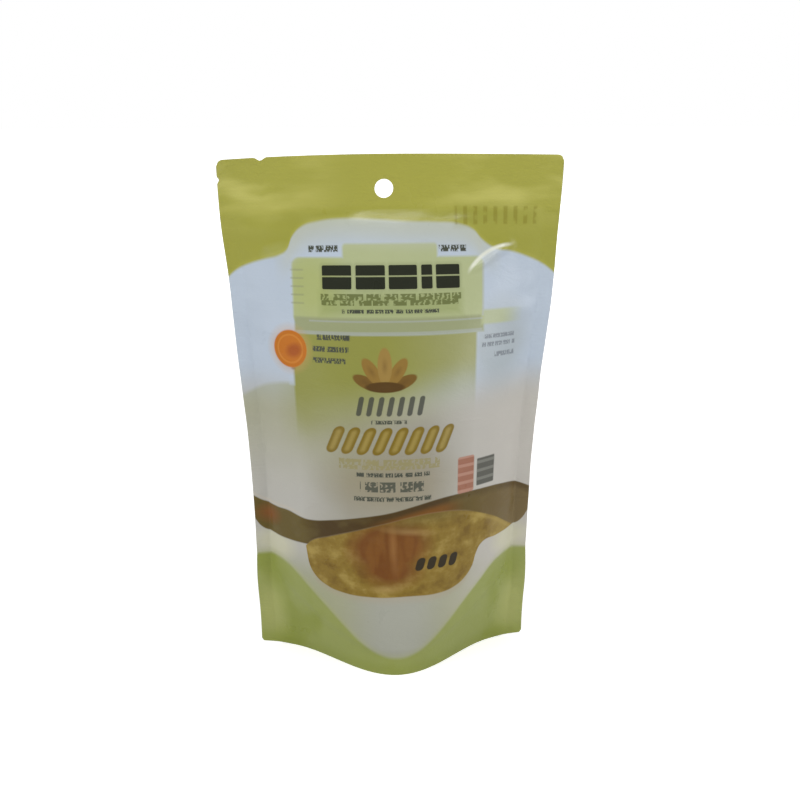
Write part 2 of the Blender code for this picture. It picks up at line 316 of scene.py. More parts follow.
def squeezed(s, z):
    """Film places after the outline is cut: rounded corners, and a nick in two edges."""
    corner = np.clip(np.abs(s) - (HALF_WIDTH - CORNER_RADIUS), 0.0, CORNER_RADIUS)
    top = HEIGHT - (CORNER_RADIUS - np.sqrt(CORNER_RADIUS ** 2 - corner ** 2))
    top = top - TOP_NICK_DEPTH * smooth(1.0 - np.abs(s - TOP_NICK_S) / TOP_NICK_HALF)
    foot = np.clip(np.abs(s) - (HALF_WIDTH - FOOT_RADIUS), 0.0, FOOT_RADIUS)
    foot_rise = FOOT_RADIUS - np.sqrt(FOOT_RADIUS ** 2 - foot ** 2)
    cut_z = np.where(z > SEAL_TOP, SEAL_TOP + (z - SEAL_TOP) * (top - SEAL_TOP) / TOP_SEAL, z)
    cut_z = cut_z + foot_rise * np.clip(1.0 - z / FOOT_FADE, 0.0, 1.0)
    nick = EDGE_NICK_DEPTH * np.clip(1.0 - np.abs(z - EDGE_NICK_Z) / EDGE_NICK_HALF, 0.0, 1.0)
    keep = 1.0 - np.where(s < 0, nick, 0.0) / SIDE_SEAL
    beyond = np.clip(np.abs(s) - FREE_HALF, 0.0, None)
    cut_s = np.sign(s) * (np.minimum(np.abs(s), FREE_HALF) + beyond * keep)
    return cut_s, cut_z


def along_section(s, z, side):
    """Distance from the middle and undisturbed bulge of places on one side of the film."""
    levels, level = np.unique(z, return_inverse=True)
    depth, share, chord = bulge(levels), roundness(levels), half_chords(levels, side)
    lengths = arcs(chord, depth, share)[level]
    wanted = np.minimum(s * side, FREE_HALF) * spanning_film(z, side) / FREE_HALF
    after = np.clip((lengths < wanted[:, None]).sum(axis=1), 1, len(SECTION_STEPS) - 1)[:, None]
    low_end = np.take_along_axis(lengths, after - 1, axis=1)[:, 0]
    high_end = np.take_along_axis(lengths, after, axis=1)[:, 0]
    t = (after[:, 0] - 1 + (wanted - low_end) / (high_end - low_end)) / (len(SECTION_STEPS) - 1)
    t = np.clip(t, 0.0, 1.0)
    beyond = np.clip(s * side - FREE_HALF, 0.0, None)
    return t * chord[level] + beyond, depth[level] * section(t, share[level])


def panel(s, z, side, inset=0.0):
    """Points in metres of one panel; side is -1 for the front and 1 for the back."""
    x, out = np.empty(s.shape), np.empty(s.shape)
    for half in (-1.0, 1.0):
        own = (s < 0.0) if half < 0 else (s >= 0.0)
        reach, bulged = along_section(s[own], z[own], half)
        x[own], out[own] = half * reach, bulged
    cut_s, cut_z = squeezed(s, z)
    x = x + (cut_s - s)
    out = np.maximum(out + relief(s, z, side) + HALF_SEAL - inset, 0.0)
    lift = CORNER_LIFT * rise(np.abs(x), rim_half - CORNER_LIFT_WIDTH, CORNER_LIFT_WIDTH)
    droop = np.where(x < 0.0, DROOP_LEFT, DROOP_RIGHT) * curl_share(x, z)
    up = cut_z + lift * roundness(z) ** 2 - droop
    return np.stack([x, middle_plane(x, z) + side * out, up], axis=-1) * MM


print("top left corner in mm:", np.round(panel(
    np.array([-float(HALF_WIDTH)]), np.array([HEIGHT]), -1.0)[0] / MM, 1))

# %% [markdown]
# ## The grid of the flat film
#
# The two panels are grids with the same rows and columns, so that their edges meet
# point for point. The cells are under a millimetre wide, because the puckers are small.

# %% Lay out the grid
SEAL_CELLS, FREE_CELLS, BODY_CELLS, BAND_CELLS = 8, 144, 230, 26
film_s = np.concatenate([
    np.linspace(-HALF_WIDTH, -FREE_HALF, SEAL_CELLS, endpoint=False),
    np.linspace(-FREE_HALF, FREE_HALF, FREE_CELLS, endpoint=False),
    np.linspace(FREE_HALF, HALF_WIDTH, SEAL_CELLS + 1),
])
film_z = np.concatenate([
    np.linspace(0.0, SEAL_TOP, BODY_CELLS, endpoint=False),
    np.linspace(SEAL_TOP, HEIGHT, BAND_CELLS + 1),
])
grid_s, grid_z = np.meshgrid(film_s, film_z)
ROWS, COLUMNS = grid_s.shape
print("grid of", ROWS, "rows and", COLUMNS, "columns")

# %% [markdown]
# ## Gathering patches
#
# The skin is made of patches: rectangles of points with faces between neighbours. Each
# point also keeps its film place and the layer that it belongs to.

# %% Gather points and faces patch by patch
FRONT, BACK, INSIDE = 0.0, 1.0, 2.0


class Skin:
    """Vertices, film places and four-cornered faces, gathered patch by patch."""

    def __init__(self):
        self.points, self.places, self.quads, self.count = [], [], [], 0

    def add(self, points, s, z, layer):
        """Adds a patch of points and returns their numbers in the patch's shape."""
        flat = points.reshape(-1, 3)
        place = np.stack([s.ravel(), z.ravel(), np.full(s.size, layer)], axis=-1)
        self.points.append(flat)
        self.places.append(place)
        numbers = np.arange(self.count, self.count + len(flat)).reshape(s.shape)
        self.count += len(flat)
        return numbers

    def grid(self, numbers, keep=None):
        """Faces between neighbouring rows and columns, without the cells left out."""
        a, b = numbers[:-1, :-1], numbers[:-1, 1:]
        c, d = numbers[1:, 1:], numbers[1:, :-1]
        quads = np.stack([a, b, c, d], axis=-1)
        self.quads.append(quads[keep] if keep is not None else quads.reshape(-1, 4))

    def strip(self, first, second):
        """Faces between two lines of the same number of points."""
        self.grid(np.stack([first, second]))


skin = Skin()
front = skin.add(panel(grid_s, grid_z, -1.0), grid_s, grid_z, FRONT)
back = skin.add(panel(grid_s, grid_z, 1.0), grid_s, grid_z, BACK)
print("two panels with", skin.count, "points")

# %% [markdown]
# ## The film as one closed skin
#
# A narrow strip of faces closes each welded edge. The hang hole could be cut with a
# Boolean, but that leaves long thin faces which spoil a glossy surface. Here a square
# block of the grid is left out instead, and rings of faces lead from the square to the
# circle.

# %% Join the panels at their edges and at the hang hole
BLOCK_CELLS, HOLE_RINGS = 13, 5
BLOCK_LEFT, BLOCK_BELOW = 4.5, 4.25
hole_row = int(np.argmin(np.abs(film_z - (HOLE_Z - BLOCK_BELOW))))
hole_column = int(np.argmin(np.abs(film_s - (HOLE_S - BLOCK_LEFT))))
solid_cells = np.ones((ROWS - 1, COLUMNS - 1), dtype=bool)
solid_cells[hole_row:hole_row + BLOCK_CELLS, hole_column:hole_column + BLOCK_CELLS] = False
skin.grid(front, solid_cells)
skin.grid(back, solid_cells)


def block_border(numbers, row, column, cells):
    """The numbers round a square block, once round and closed."""
    last_row, last_column = row + cells, column + cells
    return np.concatenate([
        numbers[row, column:last_column],
        numbers[row:last_row, last_column],
        numbers[last_row, last_column:column:-1],
        numbers[last_row:row:-1, column],
        numbers[row:row + 1, column],
    ])


def hole_rings(numbers, side, layer):
    """Rings that lead from the square block to the circle; returns the circle."""
    border = block_border(numbers, hole_row, hole_column, BLOCK_CELLS)
    # The back's numbers follow the front's, so the remainder is the place in the grid
    s = grid_s.ravel()[border % grid_s.size]
    z = grid_z.ravel()[border % grid_z.size]
    angle = np.arctan2(z - HOLE_Z, s - HOLE_S)
    last = border
    for ring in range(1, HOLE_RINGS + 1):
        share = ring / HOLE_RINGS
        ring_s = s * (1 - share) + (HOLE_S + HOLE_RADIUS * np.cos(angle)) * share
        ring_z = z * (1 - share) + (HOLE_Z + HOLE_RADIUS * np.sin(angle)) * share
        points = panel(ring_s, ring_z, side)
        current = skin.add(points, ring_s, ring_z, layer)
        skin.strip(last, current)
        last = current
    return last


front_hole = hole_rings(front, -1.0, FRONT)
back_hole = hole_rings(back, 1.0, BACK)
skin.strip(front_hole, back_hole)
for line in (np.s_[-1, :], np.s_[:, 0], np.s_[:, -1]):
    skin.strip(front[line], back[line])
print("skin so far:", skin.count, "points")

# %% [markdown]
# ## The folded gusset underneath
#
# A stand-up pouch stands on the lower edges of its two panels, its skirts. Between them
# a third, folded film is welded along a curved line. From below one sees a hollow shaped
# like a boat: the inner faces of the skirts, then the gusset that spans between the
# welds, with the crease of its old fold along the middle. It is one more grid, up one
# skirt, across and down the other, and it narrows to nothing towards the side seals.

# %% Add the gusset
WALL_CELLS, ROOF_CELLS = 10, 26
CLOSING_POWER = 6
OLD_FOLD, OLD_FOLD_SPREAD = 0.7, 2.4
GUSSET_WAVE, GUSSET_WAVE_PITCH, GUSSET_WAVE_SLANT = 0.25, 3.1, 4.0
inner = np.where(np.abs(film_s) <= GUSSET_END)[0]
gusset_s = film_s[inner]


def skirt_wall(side):
    """Inner face of one skirt in millimetres, from the rim up to the weld."""
    s = np.repeat(gusset_s[None, :], WALL_CELLS + 1, axis=0)
    z = np.linspace(0.0, 1.0, WALL_CELLS + 1)[:, None] * weld_line(gusset_s)
    return panel(s, z, side, inset=SKIRT_FILM) / MM


def gusset_points():
    """Up the front skirt, across the sagging gusset with its old fold, down the back one."""
    closing = np.sqrt(np.clip(1.0 - (gusset_s / gusset_s[-1]) ** CLOSING_POWER, 0.0, 1.0))
    front_wall, back_wall = skirt_wall(-1.0), skirt_wall(1.0)
    across = np.linspace(-1.0, 1.0, ROOF_CELLS + 1)[1:-1, None]
    start, end = front_wall[-1], back_wall[-1]
    share = (across[:, :, None] + 1.0) / 2.0
    roof = start * (1.0 - share) + end * share
    gap = np.abs(end[:, 1] - start[:, 1])
    arched = 1.0 - across ** 2
    fold = OLD_FOLD * np.exp(-np.abs(across) * gap / OLD_FOLD_SPREAD)
    wave = GUSSET_WAVE * np.sin(gusset_s / GUSSET_WAVE_PITCH + GUSSET_WAVE_SLANT * across) * arched
    roof[:, :, 2] += (fold + wave - GUSSET_SAG * arched) * closing
    points = np.concatenate([front_wall, roof, back_wall[::-1]])
    middle = points[:, :, 1].mean(axis=0)
    points[:, :, 1] = middle + (points[:, :, 1] - middle) * closing
    return points


hollow = gusset_points()
place_s = np.repeat(gusset_s[None, :], len(hollow), axis=0)
gusset = skin.add(hollow * MM, place_s, hollow[:, :, 2], INSIDE)
skin.grid(gusset)
skin.strip(front[0, inner], gusset[0])
skin.strip(gusset[-1], back[0, inner])
left_end, right_end = inner[0], inner[-1]
skin.strip(front[0, :left_end + 1], back[0, :left_end + 1])
skin.strip(front[0, right_end:], back[0, right_end:])
for end in (0, -1):
    rim = back[0, inner[end]]
    skin.quads.append(np.array([[front[0, inner[end]], gusset[0, end], rim, rim]]))
print("hollow under the base:", hollow.shape[0], "by", hollow.shape[1], "points")

# %% [markdown]
# ## Turning arrays into a mesh
#
# The arrays go into the mesh in one step each. Points that coincide at the ends of the
# gusset are merged, and then all faces are turned outwards. The film place of every
# point is kept as an attribute named `film`, so that the print can follow the surface.

# %% Build the mesh
MERGE_METRES, SHARP_DEGREES = 1e-6, 55.0


def build_skin(name):
    """Mesh object of the gathered patches, closed, with the film places on its points."""
    points = np.concatenate(skin.points)
    quads = np.concatenate(skin.quads)
    mesh = bpy.data.meshes.new(name)
    mesh.from_pydata(points, [], [list(dict.fromkeys(quad)) for quad in quads.tolist()])
    places = mesh.attributes.new("film", "FLOAT_VECTOR", "POINT")
    places.data.foreach_set("vector", np.concatenate(skin.places).ravel())
    work = bmesh.new()
    work.from_mesh(mesh)
    bmesh.ops.remove_doubles(work, verts=work.verts, dist=MERGE_METRES)
    bmesh.ops.recalc_face_normals(work, faces=work.faces)
    open_edges = sum(1 for edge in work.edges if len(edge.link_faces) != 2)
    work.to_mesh(mesh)
    work.free()
    mesh.shade_smooth()
    mesh.set_sharp_from_angle(angle=math.radians(SHARP_DEGREES))
    obj = bpy.data.objects.new(name, mesh)
    bpy.context.scene.collection.objects.link(obj)
    print(name, "has", len(mesh.polygons), "faces and", open_edges, "edges that aren't closed")
    return obj


pouch = build_skin("printed_pouch")

# %% [markdown]
# ## Numbers that vary over the film
#
# The print is drawn with nodes. Wiring dozens of Math nodes by hand is hard to read, so
# a small class wraps a socket and lets ordinary arithmetic make the nodes. A shape is
# then a distance, below zero inside it, and ink is 1 where that distance is negative.

# %% Make node arithmetic readable
film_material = bpy.data.materials.new("printed_film")
film_material.use_nodes = True
tree = film_material.node_tree
shader = tree.nodes["Principled BSDF"]


def set_inputs(node, values):
    """Sets the inputs of a node by their names."""
    for name, value in values.items():
        node.inputs[name].default_value = value


def wire(value, socket):
    """Links a field or a node socket, or sets a plain number or colour."""
    if isinstance(value, Field):
        tree.links.new(value.socket, socket)
    elif isinstance(value, bpy.types.NodeSocket):
        tree.links.new(value, socket)
    else:
        socket.default_value = value


class Field:
    """A number that varies over the film, carried by a node socket."""

    def __init__(self, socket):
        self.socket = socket

    def math(self, operation, *others, clamp=False):
        """The field after one Math node, which may take more fields or numbers."""
        node = tree.nodes.new("ShaderNodeMath")
        node.operation = operation
        node.use_clamp = clamp
        for socket, value in zip(node.inputs, (self,) + others):
            wire(value, socket)
        return Field(node.outputs[0])

    def __add__(self, other):
        return self.math("ADD", other)

    def __sub__(self, other):
        return self.math("SUBTRACT", other)

    def __mul__(self, other):
        return self.math("MULTIPLY", other)

    def __abs__(self):
        return self.math("ABSOLUTE")

    def flipped(self):
        """One minus the field."""
        return self.math("MULTIPLY_ADD", -1.0, 1.0)

    def between(self, start, end):
        """An even S curve from 0 at start to 1 at end, falling where end is lower."""
        node = tree.nodes.new("ShaderNodeMapRange")
        node.interpolation_type = "SMOOTHSTEP"
        wire(self, node.inputs["Value"])
        set_inputs(node, {"From Min": start, "From Max": end})
        return Field(node.outputs["Result"])

    def ink(self, edge=0.12):
        """1 where the distance is negative, with an edge of the given width in mm."""
        return self.math("MULTIPLY_ADD", -1.0 / edge, 0.5, clamp=True)


def film_fields():
    """The two film places in mm and the layer number, read from the film attribute."""
    attribute = tree.nodes.new("ShaderNodeAttribute")
    attribute.attribute_name = "film"
    split = tree.nodes.new("ShaderNodeSeparateXYZ")
    tree.links.new(attribute.outputs["Vector"], split.inputs[0])
    return [Field(split.outputs[i]) for i in range(3)]


S, Z, LAYER = film_fields()
print("film fields ready")

# %% [markdown]
# ## Shapes to print with
#
# A few kinds of shape are enough for this pack: a box with round or square corners, an
# oval, and the region over a curve. Each is written as a distance in millimetres. A row
# of blocks is one shape too, so that it needs few nodes.

# %% Define boxes, ovals, curves and rows of blocks
ROW_MARGIN, FARTHEST = 2.0, 8.0


def turned(s, z, centre_s, centre_z, turn=0.0):
    """Film places seen from a centre, turned by some degrees."""
    ds, dz = s - centre_s, z - centre_z
    if not turn:
        return ds, dz
    cos, sin = math.cos(math.radians(turn)), math.sin(math.radians(turn))
    return ds * cos + dz * sin, dz * cos - ds * sin


def rounded(past_s, past_z, radius):
    """Distance to a shape with round corners, from the distances past its two sides."""
    past_s = (past_s + radius).math("MAXIMUM", 0.0)
    past_z = (past_z + radius).math("MAXIMUM", 0.0)
    return (past_s * past_s + past_z * past_z).math("SQRT") - radius


def box(centre_s, centre_z, width, height, radius):
    """Distance to a box with round corners."""
    ds, dz = turned(S, Z, centre_s, centre_z)
    return rounded(abs(ds) - width / 2, abs(dz) - height / 2, radius)


def window(left, right, low_z, high_z):
    """Distance to a box with square corners, in fewer nodes."""
    ds, dz = turned(S, Z, (left + right) / 2, (low_z + high_z) / 2)
    return (abs(ds) - (right - left) / 2).math("MAXIMUM", abs(dz) - (high_z - low_z) / 2)


def oval(centre_s, centre_z, width, height, turn=0.0, s=None):
    """Distance to an oval, near enough at its edge: scaled length minus one, times size."""
    ds, dz = turned(s or S, Z, centre_s, centre_z, turn)
    across, up = ds * (2.0 / width), dz * (2.0 / height)
    reach = min(width, height) / 2
    return (across * across + up * up).math("SQRT").math("MULTIPLY_ADD", reach, -reach)


def looked_up(value, points, low_value, high_value, corners=False):
    """Looks a value up in a curve through points, smooth or with straight stretches."""
    first, last = points[0][0], points[-1][0]
    node = tree.nodes.new("ShaderNodeFloatCurve")
    curve = node.mapping.curves[0]
    span = high_value - low_value
    places = [((place - first) / (last - first), (height - low_value) / span)
              for place, height in points]
    curve.points[0].location = places[0]
    curve.points[1].location = places[-1]
    for place in places[1:-1]:
        curve.points.new(*place)
    for point in curve.points:
        point.handle_type = "VECTOR" if corners else "AUTO"
    node.mapping.update()
    wire((value - first) * (1.0 / (last - first)), node.inputs["Value"])
    return Field(node.outputs[0]).math("MULTIPLY_ADD", span, low_value)


def over_curve(points):
    """Height of the film place above a soft curve through the given places."""
    return Z - looked_up(S, points, 0.0, HEIGHT)


def even_row(start, stop, step, width):
    """Left ends and widths of equal blocks at an even step."""
    return [(left, width) for left in np.arange(start, stop, step)]


def block_row(lefts_and_widths, low_z, high_z, radius, lean=0.0):
    """Distance to a row of rounded blocks; a zigzag curve says how far past a side it is."""
    middle = (low_z + high_z) / 2
    leaned = S - (Z - middle) * math.tan(math.radians(lean))
    sides = [edge for left, width in lefts_and_widths for edge in (left, left + width)]
    zigzag = [(sides[0] - ROW_MARGIN, ROW_MARGIN)]
    for number, (near, far) in enumerate(zip(sides, sides[1:])):
        depth = (far - near) / 2
        zigzag.append((near, 0.0))
        zigzag.append((near + depth, depth if number % 2 else -depth))
    zigzag += [(sides[-1], 0.0), (sides[-1] + ROW_MARGIN, ROW_MARGIN)]
    past = looked_up(leaned, zigzag, -FARTHEST, FARTHEST, corners=True)
    return rounded(past, abs(Z - middle) - (high_z - low_z) / 2, radius)


print("shapes ready")

# %% [markdown]
# ## Noise and small type
#
# Noise over the flat film makes the ink uneven. The small type is greeked: ragged stems
# with gaps, at the weight and rhythm of words, that say nothing.

# %% Define noise and greeked lines
WORD_SHARE, WORD_GAP = 0.3, 0.28


def noise(scale_s, scale_z, detail, seed, roughness=0.5, distortion=0.0):
    """Noise over the flat film, stretched by its two scales in features per mm."""
    join = tree.nodes.new("ShaderNodeCombineXYZ")
    wire(S * scale_s, join.inputs[0])
    wire(Z * scale_z, join.inputs[1])
    join.inputs[2].default_value = seed
    node = tree.nodes.new("ShaderNodeTexNoise")
    set_inputs(node, {
        "Scale": 1.0, "Detail": detail, "Roughness": roughness, "Distortion": distortion,
    })
    tree.links.new(join.outputs[0], node.inputs["Vector"])
    return Field(node.outputs["Fac"])


def random_of(cell, seed):
    """A steady random number for each whole cell."""
    node = tree.nodes.new("ShaderNodeTexWhiteNoise")
    node.noise_dimensions = "1D"
    wire(cell + seed, node.inputs["W"])
    return Field(node.outputs["Value"])


def type_grain(pitch, line_step, seed, half_stem=0.36):
    """Small type seen from afar.

    Stems are counted along the film from a random start on each line, and noise makes
    them ragged. A random gap closes every word, and bars of a flat noise join some stems.
    """
    line = (Z * (1.0 / line_step)).math("FLOOR")
    run = S * (1.0 / pitch) + random_of(line, seed) * 9.0
    ragged = run + noise(0.9 / pitch, 1.3 / pitch, 1.0, seed) * 1.5
    stem = (abs(ragged.math("FRACT") - 0.5) - half_stem).ink(0.25)
    word = random_of((run * WORD_SHARE).math("FLOOR") + line * 17.0, seed + 0.5)
    within = ((run * WORD_SHARE).math("FRACT") - word * WORD_GAP).math("GREATER_THAN", 0.0)
    bars = noise(0.35 / pitch, 1.5 / pitch, 0.0, seed + 7.0).between(0.52, 0.56)
    return stem.math("MAXIMUM", bars) * within


def lines_of(windows):
    """Ink of several lines at once: the least distance to any of their windows."""
    nearest = window(*windows[0])
    for places in windows[1:]:
        nearest = nearest.math("MINIMUM", window(*places))
    return nearest.ink(0.35)


print("noise and lines ready")

# %% [markdown]
# ## The palette
#
# Colours are named here once, as one picks them on a screen, from 0 to 255. The shader
# reckons in linear light, so `tone` turns them into that. A painter is a function that
# yields masks with the names of their colours, and `printed` lays them down in turn.

# %% Name the colours and print with them
PALETTE = {
    "lilac_white": (190, 202, 216), "warm_white": (188, 186, 178), "foot_white_shaded": (170, 171, 158),
    "right_white_lit": (196, 192, 184), "gusset_white": (196, 198, 190), "film_core": (206, 206, 196),
    "foot_lime": (168, 170, 134), "foot_cream": (212, 210, 176), "worded_grey": (158, 154, 139),
    "warm_haze": (142, 126, 84), "cool_shade": (166, 174, 172), "painted_seal_shadow": (92, 72, 40),
    "lime": (170, 168, 72), "lime_bright": (206, 202, 112), "painted_lime_highlight": (192, 196, 134),
    "lime_deep": (150, 150, 56), "arch_pale": (190, 195, 182), "code_olive": (128, 118, 26),
    "label": (180, 188, 142), "label_left": (176, 184, 120), "label_low": (156, 162, 122),
    "label_haze": (142, 154, 84), "rule_white": (176, 182, 186), "tick_grey": (138, 140, 112),
    "olive": (146, 147, 66), "olive_side": (158, 160, 106), "painted_crease_highlight": (238, 240, 224),
    "green": (152, 160, 88), "green_deep": (140, 150, 58), "green_pale": (174, 178, 108),
    "brown": (98, 82, 26), "brown_deep": (68, 46, 0), "brown_grey": (108, 88, 44),
    "brown_pale": (132, 114, 80), "brown_moss": (112, 98, 50), "brown_warm": (134, 82, 8),
    "rust": (140, 74, 20), "peach": (214, 196, 172), "halo_grey": (176, 162, 140),
    "gold": (138, 112, 36), "gold_deep": (112, 84, 14), "gold_pale": (176, 152, 78),
    "amber": (112, 58, 0), "amber_vein": (180, 128, 50), "amber_streak": (190, 140, 78),
    "glint": (206, 176, 112), "grain_gold": (128, 106, 26), "grain_light": (176, 156, 84),
    "ink": (34, 38, 22), "ink_soft": (72, 76, 64), "ink_green": (84, 92, 36),
    "ink_haze": (104, 112, 62), "stalk_grey": (60, 62, 58), "pill_brown": (44, 34, 6),
    "note_grey": (120, 126, 134), "line_gold": (150, 142, 92),
    "seal_glow": (206, 158, 96), "seal_orange": (194, 110, 0), "seal_ring": (214, 142, 48),
    "seal_deep": (158, 70, 0), "leaf_low": (120, 90, 36), "leaf_side": (148, 116, 52),
    "leaf_middle": (160, 130, 66), "leaf_foot": (88, 62, 20), "leaf_inside": (96, 68, 30),
    "tag_pink": (160, 108, 86), "pink_stripe": (206, 164, 146),
    "tag_dark": (92, 92, 84), "grey_stripe": (168, 168, 158),
}


def tone(name):
    """A palette colour in linear light: each step decoded by the screen's power law."""
    steps = np.array(PALETTE[name]) / 255.0
    light = np.where(steps <= 0.04045, steps / 12.92, ((steps + 0.055) / 1.055) ** 2.4)
    return (*light.tolist(), 1.0)


def paint(under, mask, colour):
    """Lays a colour over what is there, where the mask says."""
    node = tree.nodes.new("ShaderNodeMix")
    node.data_type = "RGBA"
    wire(mask, node.inputs["Factor"])
    wire(under, node.inputs["A"])
    wire(colour, node.inputs["B"])
    return node.outputs["Result"]


def printed(colour, *painters):
    """The colour after each painter has laid its masks over it, one by one."""
    for painter in painters:
        for mask, name in painter():
            colour = paint(colour, mask, tone(name))
    return colour


print(len(PALETTE), "colours named")

# %% [markdown]
# ## The big fields of colour
#
# The print starts with its large areas. White film comes first, cool above and warm
# below, with soft hazes where the photograph has them. The cool top, the greyer foot and
# the brighter right side of the white are painted light and shade. Over it lie the olive
# panel, which fades out downwards, and the label with its tab.

# %% Paint the white film, the olive panel and the label
HAZE = ((-55, 91.5), (-50, 94), (-45, 96), (-36, 97.5), (-20, 98), (0, 90), (25, 82), (55, 70))
LABEL_RULES = (
    (-33, 29.5, 114.1, 115.1), (-28, 29.5, 118, 118.5), (29.2, 30, 119, 136),
)


def front_ground():
    """White film with painted light and shade, its olive haze on the left, and the panel that fades out
    downwards.
    """
    # Painted reflection of cool light on the upper white film.
    yield Z.between(86, 104), "lilac_white"
    # Painted shade: the white film greyer and darker low down.
    yield Z.between(44, 24), "foot_white_shaded"
    yield Z.between(42, 26) * abs(S).between(4, 24) * 0.8, "foot_lime"
    # Painted highlight: the white film brighter to the right.
    yield S.between(8, 46) * Z.between(104, 84), "right_white_lit"
    worded = (abs(S + 3) - 22).ink(18) * Z.between(96, 84) * Z.between(34, 54)
    yield worded * 0.85, "worded_grey"
    yield oval(-2.5, 67, 38, 19).ink(10) * 0.42, "warm_haze"
    yield oval(36, 110, 22, 26).ink(8) * 0.55, "cool_shade"
    haze = over_curve(HAZE).ink(1.6) * Z.between(56, 90)
    yield haze * S.between(6, -24) * 0.45, "olive_side"
    dense = (abs(S + 30) - 6).ink(13) * Z.between(68, 88)
    yield haze * dense * 0.45, "olive"
    olive_panel = (abs(S + 3.3) - 30.8).ink(1) * (Z - 114).ink(0.6)
    fading = olive_panel * (Z - S * 0.15).between(82, 104)
    yield fading, "olive_side"
    yield fading * S.between(26, -6) * 0.9, "olive"
    yield box(-35, 100, 2.2, 6.4, 0.4).ink(0.8) * 0.5, "lilac_white"
    # A small painted shadow under the round seal.
    yield oval(-34.2, 102.6, 1.6, 1.2).ink(0.6) * 0.7, "painted_seal_shadow"


def front_label():
    """Lime label with a tab on top, a deeper strip below it, thin rules and ticks."""
    label = box(-1.8, 127.5, 63, 21, 2.6).math("MINIMUM", box(-1, 138.4, 31, 7.6, 1.2))
    inside = label.ink(0.9)
    yield inside, "label"
    yield oval(-27.5, 128.5, 17, 22).ink(10) * inside, "label_left"
    yield window(-33, 30, 114, 119.4).ink(0.9), "label_low"
    yield window(-24, 22, 120.2, 127).ink(3) * 0.5, "label_haze"
    bar = window(29, 44.5, 116.2, 120.8).ink(0.9) * S.between(46, 36)
    yield bar * 0.85, "label"
    yield lines_of(LABEL_RULES) * 0.45, "rule_white"
    ticks = window(-34, -29.6, 122.5, 136.5).ink(0.5) * (Z * 2.4).math("SINE").between(0.55, 0.95)
    yield ticks * 0.4, "tick_grey"


front_colour = printed(tone("warm_white"), front_ground, front_label)
print("ground and label painted with", len(tree.nodes), "nodes")

# %% [markdown]
# ## The lime arch and the green foot
#
# The lime field arches round the top, and the green foot follows the gusset weld. The
# long edge of each is a curve through a few film places.

# %% Paint the arch and the foot
ARCH = (
    (-55, 131.6), (-52, 134), (-48, 135.8), (-42, 137.6), (-37.5, 138.8), (-34.6, 140.5),
    (-32.6, 144.6), (-29.5, 147.6), (-24, 149.2), (-15, 149.9), (-6, 149.6), (4, 148.9),
    (14, 148.6), (22, 148), (26.5, 146.2), (29.5, 143), (33, 140.6), (39, 139.2),
    (46, 136.8), (51, 134.4), (55, 131.4),
)
FOOT = (
    (-55, 34.4), (-48, 34.6), (-43, 34), (-38.5, 31.8), (-33, 27.2), (-27, 22), (-20, 16),
    (-13, 10.8), (-6, 7.4), (0, 6.4), (6, 7.6), (13, 11.4), (20, 16.4), (27, 22.6),
    (33, 27.8), (38, 32), (43, 34), (48, 34.6), (55, 34.2),
)


def front_arch():
    """Lime field over the arch: pale along its edge, bright in patches, with painted highlights and
    painted shade under the seal.
    """
    arch = over_curve(ARCH)
    pale = arch.between(-11, -1) * (abs(S + 1.5) - 34).ink(8)
    yield pale * 0.9, "arch_pale"
    glow = (abs(arch + 0.6) - 0.2).ink(3.6) * S.between(2, -12) * S.between(-31, -25)
    lime = arch.between(-0.7, 0.7)
    yield lime, "lime"
    bright = noise(0.035, 0.10, 2, 52).between(0.40, 0.64) * abs(S + 4).between(6, 40)
    yield lime * bright * Z.between(142, 158) * 0.75, "lime_bright"
    # Painted highlights: a soft line along the arch's edge, and a faint spot on the fold at its left
    # end.
    yield glow * 0.2, "painted_lime_highlight"
    yield oval(-38.6, 140.4, 8, 3.6, 20).ink(2) * 0.35, "painted_lime_highlight"
    # Painted shade along the fold just under the top seal.
    shade_under_seal = Z.between(SEAL_TOP + 1, SEAL_TOP - 2) * arch.between(0, 2)
    yield shade_under_seal * 0.45, "lime_deep"


def front_foot():
    """The green foot of the print: uneven and paler at the sides, with painted highlights by the side
    seals and painted shade low down.
    """
    foot = over_curve(FOOT)
    far = abs(S)
    yield oval(47, 39.5, 16, 9, s=far).ink(4) * 0.6, "foot_cream"
    yield foot.between(3, 0) * 0.3, "green_pale"
    green = foot.between(0.9, -0.9)
    yield green, "green"
    uneven = noise(0.055, 0.045, 2, 41)
    yield green * uneven.between(0.48, 0.68) * 0.7, "green_deep"
    # Painted highlights on the bulges between the gusset weld and the side seals.
    yield oval(50.8, 13.5, 10, 22, s=far).ink(6) * green * 0.8, "green_pale"
    yield oval(46.5, 27, 10, 10, s=far).ink(6) * green * 0.7, "green_deep"
    # Painted shade: the green darker near the rim, where the film turns under.
    yield green * Z.between(6, 1.5) * 0.35, "green_deep"


front_colour = printed(front_colour, front_arch, front_foot)
print("arch and foot painted, nodes:", len(tree.nodes))

# %% [markdown]
# ## The band and the golden panel
#
# A brown band waves across the lower part, and a golden panel with a round bottom lies
# over it. The panel's picture is left out; in its place is a warm swirl of amber in
# gold, made with a stretched noise, which has the same colours and the same weight.

